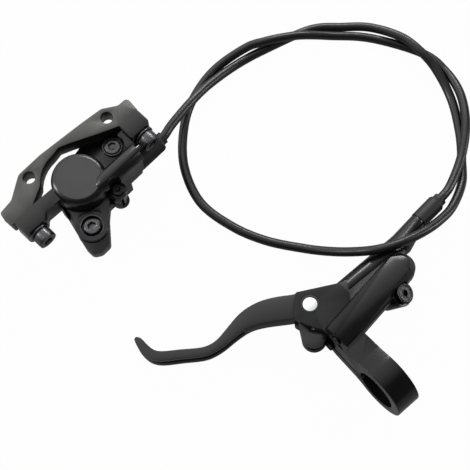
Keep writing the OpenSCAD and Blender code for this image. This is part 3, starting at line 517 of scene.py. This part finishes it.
# %% [markdown]
# ## Turned lips
# Round every bolt the casting carries a thin turned lip, and the bleed screw has one on its head. The
# lips round the lower and upper bolts are in the lighter steel, partly wear and partly a painted
# highlight. A dark rubber ring lies round the pivot pin. All are round, so each is a small section spun
# about an axis. They could be cut into the casting, but laid on it as rings they leave the imported shape
# alone.

# %% Turned lips
def turned(name, place, section, material):
    """A closed ring: its section, as radius and height in millimetres, spun round the Z of its place."""
    mesh = bpy.data.meshes.new(name)
    work = bmesh.new()
    corners = [work.verts.new((r * MM, 0, z * MM)) for r, z in section]
    edges = [work.edges.new((a, b)) for a, b in zip(corners, corners[1:] + corners[:1])]
    bmesh.ops.spin(
        work, geom=corners + edges, cent=(0, 0, 0), axis=(0, 0, 1), angle=math.tau, steps=72, use_merge=True
    )
    bmesh.ops.recalc_face_normals(work, faces=work.faces)
    work.to_mesh(mesh)
    work.free()
    mesh.transform(place)
    soften(mesh, 35)
    as_object(name, mesh, material, "brake")
    print(name, "faces:", len(mesh.polygons))


def lip(low, inner, outer, height):
    """Section of a lip on a face at the height low: sloped inside and outside, and flat on top."""
    slope = min(0.22, (outer - inner) / 3)
    foot, top = low - 0.1, low + height
    outside = [(outer, foot), (outer, low), (outer - slope, top)]
    inside = [(inner + slope, top), (inner, low)]
    return [(inner, foot)] + outside + inside


LOWER_BOLT = CALIPER @ shift(-11.6, -20.6)
UPPER_BOLT = CALIPER @ shift(26.6, 4.6)
PAD_PIN = CALIPER @ shift(11.2, -16)
BLEED = LEVER @ shift(35.6, 26.3, 8) @ turn(-49, "Z") @ turn(40, "Y")
PIVOT = LEVER @ shift(-2.7, 53.1)
# The lips round the lower and upper bolts are in the lighter steel, partly wear and partly a painted
# highlight.
turned("lower_bolt_lip", LOWER_BOLT, lip(9, 5.5, 6.2, 0.3), worn_and_highlight_steel)
turned("lower_bolt_step", LOWER_BOLT, lip(9, 6.9, 8.1, 0.25), black_coat)
turned("upper_bolt_lip", UPPER_BOLT, lip(6.4, 4.7, 5.4, 0.3), worn_and_highlight_steel)
turned("pad_pin_lip", PAD_PIN, lip(9, 3.75, 4.5, 0.25), black_coat)
turned("bleed_screw_lip", BLEED, lip(2.6, 3.9, 4.8, 0.3), black_steel)
turned("bleed_boss_lip", BLEED, lip(0, 5.8, 6.5, 0.25), black_coat)
# A dark rubber ring lies round the pivot pin, where the pin meets the ear.
PIVOT_RING_SECTION = [(3.95, 8.2), (4.8, 8.2), (4.8, 8.75), (3.95, 8.85)]
turned("pivot_dark_ring", PIVOT, PIVOT_RING_SECTION, rubber)

# %% [markdown]
# ## Cast web and bolt ribs
# A small web closes the corner of the casting between the reservoir's near end and the lower ear. It
# lies under the blade, where the blade can't reach it. The heads of the mount bolts are ribbed for grip.
# Both are plain blocks with their edges broken, and the ribs are one block laid round a circle. A
# modifier could repeat the rib, but a loop over matrices leaves one plain mesh at the origin.

# %% Cast web and bolt ribs
def blocks(name, places, size_mm, edge_mm, segments, material):
    """Blocks of one size at all the places, as one piece."""
    mesh = bpy.data.meshes.new(name)
    work = bmesh.new()
    for place in places:
        bmesh.ops.create_cube(work, size=MM, matrix=place @ Matrix.Diagonal((*size_mm, 1)))
    bevel(work, work.edges[:], edge_mm, segments)
    work.to_mesh(mesh)
    work.free()
    as_object(name, mesh, material, "brake")
    print(name, "blocks:", len(places), "faces:", len(mesh.polygons))
    return mesh


web = blocks("cast_web", [LEVER @ shift(-5.2, 34.9, -7)], (6.2, 7.4, 3.1), 0.9, 3, black_coat)
soften(web, 40)
RIBS = 24
RIB_RADIUS = 4.92
rib_places = [
    CALIPER @ shift(x, -7.6, 10) @ turn(90, "X") @ turn(360 * k / RIBS, "Z") @ shift(RIB_RADIUS, 0)
    for x in (-32.5, 41.5)
    for k in range(RIBS)
]
# The ribs are in the lighter steel, partly wear and partly painted highlight.
blocks("bolt_ribs", rib_places, (0.3, 0.5, 4.2), 0.08, 1, worn_and_highlight_steel)

# %% [markdown]
# ## Finishes of the pieces that stay as they are
# Seals, pistons, springs and the like already have their full shape, and most lie inside, so they only
# take a finish.

# %% Finish the inner pieces
FINISHES = {
    piston_anodise: ["outer_piston", "inner_piston", "master_piston"],
    plated_steel: ["outer_pad_backing", "inner_pad_backing"],
    pressed_block: ["outer_pad_friction", "inner_pad_friction"],
    black_steel: ["caliper_bleed_screw", "caliper_hose_nut", "lever_hose_nut"],
    brass: ["caliper_hose_olive", "lever_hose_olive"],
    bronze: ["pivot_bushes"],
    bare_steel: [
        "pad_spring",
        "pad_pin_clip",
        "caliper_hose_barb",
        "lever_hose_barb",
        "pushrod",
        "pushrod_pin",
        "return_spring",
        "retaining_ring",
    ],
    rubber: [
        "outer_piston_seal",
        "inner_piston_seal",
        "crossover_o_ring",
        "caliper_hose_boot",
        "lever_hose_boot",
        "reservoir_bladder",
        "bleed_screw_o_ring",
        "primary_seal",
        "secondary_seal",
        "dust_boot",
    ],
}
for material, members in FINISHES.items():
    for node in members:
        nodes[node].data.materials.clear()
        nodes[node].data.materials.append(material)
print("finished as they are:", sum(len(members) for members in FINISHES.values()))

# %% [markdown]
# ## Hose
# The hose is one length of nylon-covered line, a little over 0.8 m, that leaves the caliper, makes two
# turns on the table and goes into the lever. It is stiff, so it lies in wide curves and passes over
# itself in low humps. Its middle line is the same list of points as in the model, and a round bevel on a
# curve gives it its thickness with the least work.

# %% The hose's middle line
ROUTE = [
    (-30.5, 77, 12.5), (-20, 92, 10), (-10.5, 104, 6.2), (5, 118, 2.8), (23.5, 129, 2.5), (46.5, 140, 2.5),
    (63.5, 141.5, 2.5), (80.5, 140.5, 4), (97, 133, 7), (107.5, 123.5, 7.8), (116, 113.5, 5.5),
    (124, 97, 2.5), (127.5, 76, 2.5), (127.5, 59, 2.5), (126, 45, 5), (119, 30, 10), (111, 21, 14),
    (101.5, 13.5, 18), (88.5, 6.5, 20.6), (77, 3.5, 19), (66, 4, 13.4), (54, 6, 7.3), (40, 9, 3.1),
    (20, 13.5, 2.5), (2, 21.5, 2.5), (-15, 35, 2.5), (-24, 55, 2.5), (-25, 76, 2.5), (-20.5, 95, 2.5),
    (-8.5, 114, 2.5), (9, 126.5, 5.4), (20, 129.5, 7.8), (31.5, 132, 8.2), (42, 134, 7), (58, 135.5, 3.5),
    (80.5, 134.5, 2.5), (108.5, 125.5, 2.5), (121, 115, 2.5), (128.5, 99, 5.5), (130, 79.5, 7.7),
    (126.5, 60.5, 7.8), (119, 42.5, 9.5),
]
HOSE_RADIUS = 2.5 * MM


def smooth_line(points, steps):
    """Points of the smooth curve through all the given ones."""
    last = len(points) - 1
    line = []
    for k in range(last):
        a, b = points[max(k - 1, 0)], points[k]
        c, d = points[k + 1], points[min(k + 2, last)]
        for s in range(steps):
            t = s / steps
            squared = (2 * a - 5 * b + 4 * c - d) * t**2
            cubed = (3 * b - a - 3 * c + d) * t**3
            line.append(0.5 * (2 * b + (c - a) * t + squared + cubed))
    return line + [points[last]]


hose_points = [HOSE_INLET @ Vector((0, 0, out * MM)) for out in (-10.1, 10, 20)]
hose_points += [Vector(point) * MM for point in ROUTE]
hose_points += [HOSE_OUTLET @ Vector((0, 0, out * MM)) for out in (17.5, 8.75, -10.1)]
hose_line = smooth_line(hose_points, 12)
for point in hose_line:
    point.z = max(point.z, HOSE_RADIUS)

# %% Hose
curve = bpy.data.curves.new("hose_line", "CURVE")
curve.dimensions = "3D"
curve.bevel_depth = HOSE_RADIUS
curve.bevel_resolution = 10
curve.use_fill_caps = True
spline = curve.splines.new("POLY")
spline.points.add(len(hose_line) - 1)
for spot, point in zip(spline.points, hose_line):
    spot.co = (*point, 1)
hose = bpy.data.objects.new("hose_skin", curve)
bpy.context.scene.collection.objects.link(hose)
curve.materials.append(nylon)
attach(hose, "brake")
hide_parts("hose")
print("hose points:", len(hose_line))

# %% [markdown]
# ## Table and room
# A shop photograph is shot on white and its background is cut out to pure white. The brake itself was lit
# from above and behind, so faces that look up are grey while walls that look at the camera stay almost
# black. More light would whiten the table too, but it would wash out the black parts. So the table and
# the room are simply white to the camera. In what the satin coat mirrors, the room is bright towards the
# upper left and falls off to dark on the camera's side.

# %% Table
SEEN_WHITE = 0.98
MIRRORED_WHITE = 0.06
MATH = "ShaderNodeMath"
LARGER, TIMES, PLUS, MINUS = ({"operation": word} for word in ("MAXIMUM", "MULTIPLY", "ADD", "SUBTRACT"))
table_mesh = bpy.data.meshes.new("table")
work = bmesh.new()
bmesh.ops.create_grid(work, x_segments=1, y_segments=1, size=1.2)
work.to_mesh(table_mesh)
work.free()
table = bpy.data.objects.new("table", table_mesh)
table.location.z = -0.0001
bpy.context.scene.collection.objects.link(table)
table_white = bpy.data.materials.new("white table")
table_white.use_nodes = True
tree = table_white.node_tree
shader = tree.nodes["Principled BSDF"]
shader.inputs["Base Color"].default_value = tint("#b4b4b4")
shader.inputs["Roughness"].default_value = 0.9
ray = add_node(tree, "ShaderNodeLightPath").outputs
seen = add_node(tree, MATH, LARGER, i0=ray["Is Camera Ray"], i1=ray["Is Transmission Ray"])
seen = add_node(tree, MATH, TIMES, i0=seen.outputs[0], i1=SEEN_WHITE)
mirrored = add_node(tree, MATH, TIMES, i0=ray["Is Glossy Ray"], i1=MIRRORED_WHITE)
share = add_node(tree, MATH, LARGER, i0=seen.outputs[0], i1=mirrored.outputs[0])
plain = add_node(tree, "ShaderNodeEmission", Color=(1, 1, 1, 1), Strength=1.0)
mix = add_node(tree, "ShaderNodeMixShader", i0=share.outputs[0], i1=shader.outputs[0], i2=plain.outputs[0])
tree.links.new(mix.outputs[0], tree.nodes["Material Output"].inputs["Surface"])
table_mesh.materials.append(table_white)
print("table is white by", SEEN_WHITE, "to the camera and by", MIRRORED_WHITE, "in mirrored rays")

# %% Room
BRIGHT_SIDE = Vector((-0.45, 0.6, 0.45)).normalized()
ROOM_LIGHT = 0.32
room = bpy.data.worlds.new("white room")
bpy.context.scene.world = room
room.use_nodes = True
tree = room.node_tree
ray = add_node(tree, "ShaderNodeLightPath").outputs
way = add_node(tree, "ShaderNodeTexCoord").outputs["Generated"]
toward = add_node(tree, "ShaderNodeVectorMath", {"operation": "DOT_PRODUCT"}, i0=way, i1=BRIGHT_SIDE)
falloff = add_node(
    tree,
    "ShaderNodeMapRange",
    Value=toward.outputs["Value"],
    From_Min=0.2,
    From_Max=1.0,
    To_Min=0.12,
    To_Max=1.6,
)
seen = add_node(tree, MATH, LARGER, i0=ray["Is Camera Ray"], i1=ray["Is Transmission Ray"])
mirrored = add_node(tree, MATH, TIMES, i0=ray["Is Glossy Ray"], i1=falloff.outputs["Result"])
either = add_node(tree, MATH, LARGER, i0=seen.outputs[0], i1=ray["Is Glossy Ray"])
neither = add_node(tree, MATH, MINUS, i0=1.0, i1=either.outputs[0])
soft = add_node(tree, MATH, TIMES, i0=neither.outputs[0], i1=ROOM_LIGHT)
level = add_node(tree, MATH, PLUS, i0=seen.outputs[0], i1=mirrored.outputs[0])
level = add_node(tree, MATH, PLUS, i0=level.outputs[0], i1=soft.outputs[0])
tree.nodes["Background"].inputs["Color"].default_value = (1, 1, 1, 1)
tree.links.new(level.outputs[0], tree.nodes["Background"].inputs["Strength"])
print("room light", ROOM_LIGHT, "brightest towards", [round(v, 2) for v in BRIGHT_SIDE])

# %% [markdown]
# ## Lamps
# Three long soft lamps draw the pale lines along the rounded edges: one behind and one on each side. The
# right one is weaker, and keeps the bleed screw and the reservoir's far side from going black.

# %% Lamps
def soft_lamp(name, place, size, power):
    """A rectangular lamp that looks at the middle of the table."""
    lamp = bpy.data.objects.new(name, bpy.data.lights.new(name, "AREA"))
    lamp.data.shape = "RECTANGLE"
    lamp.data.size, lamp.data.size_y = size
    lamp.data.energy = power
    lamp.location = place
    lamp.rotation_euler = Vector(place).to_track_quat("Z", "Y").to_euler()
    bpy.context.scene.collection.objects.link(lamp)
    print(name, power, "W")


soft_lamp("soft lamp behind", (0.1, 0.75, 0.5), (0.5, 0.1), 3)
soft_lamp("soft lamp left", (-0.8, 0.05, 0.4), (0.1, 0.5), 3)
soft_lamp("soft lamp right", (0.8, 0.1, 0.35), (0.1, 0.5), 2)
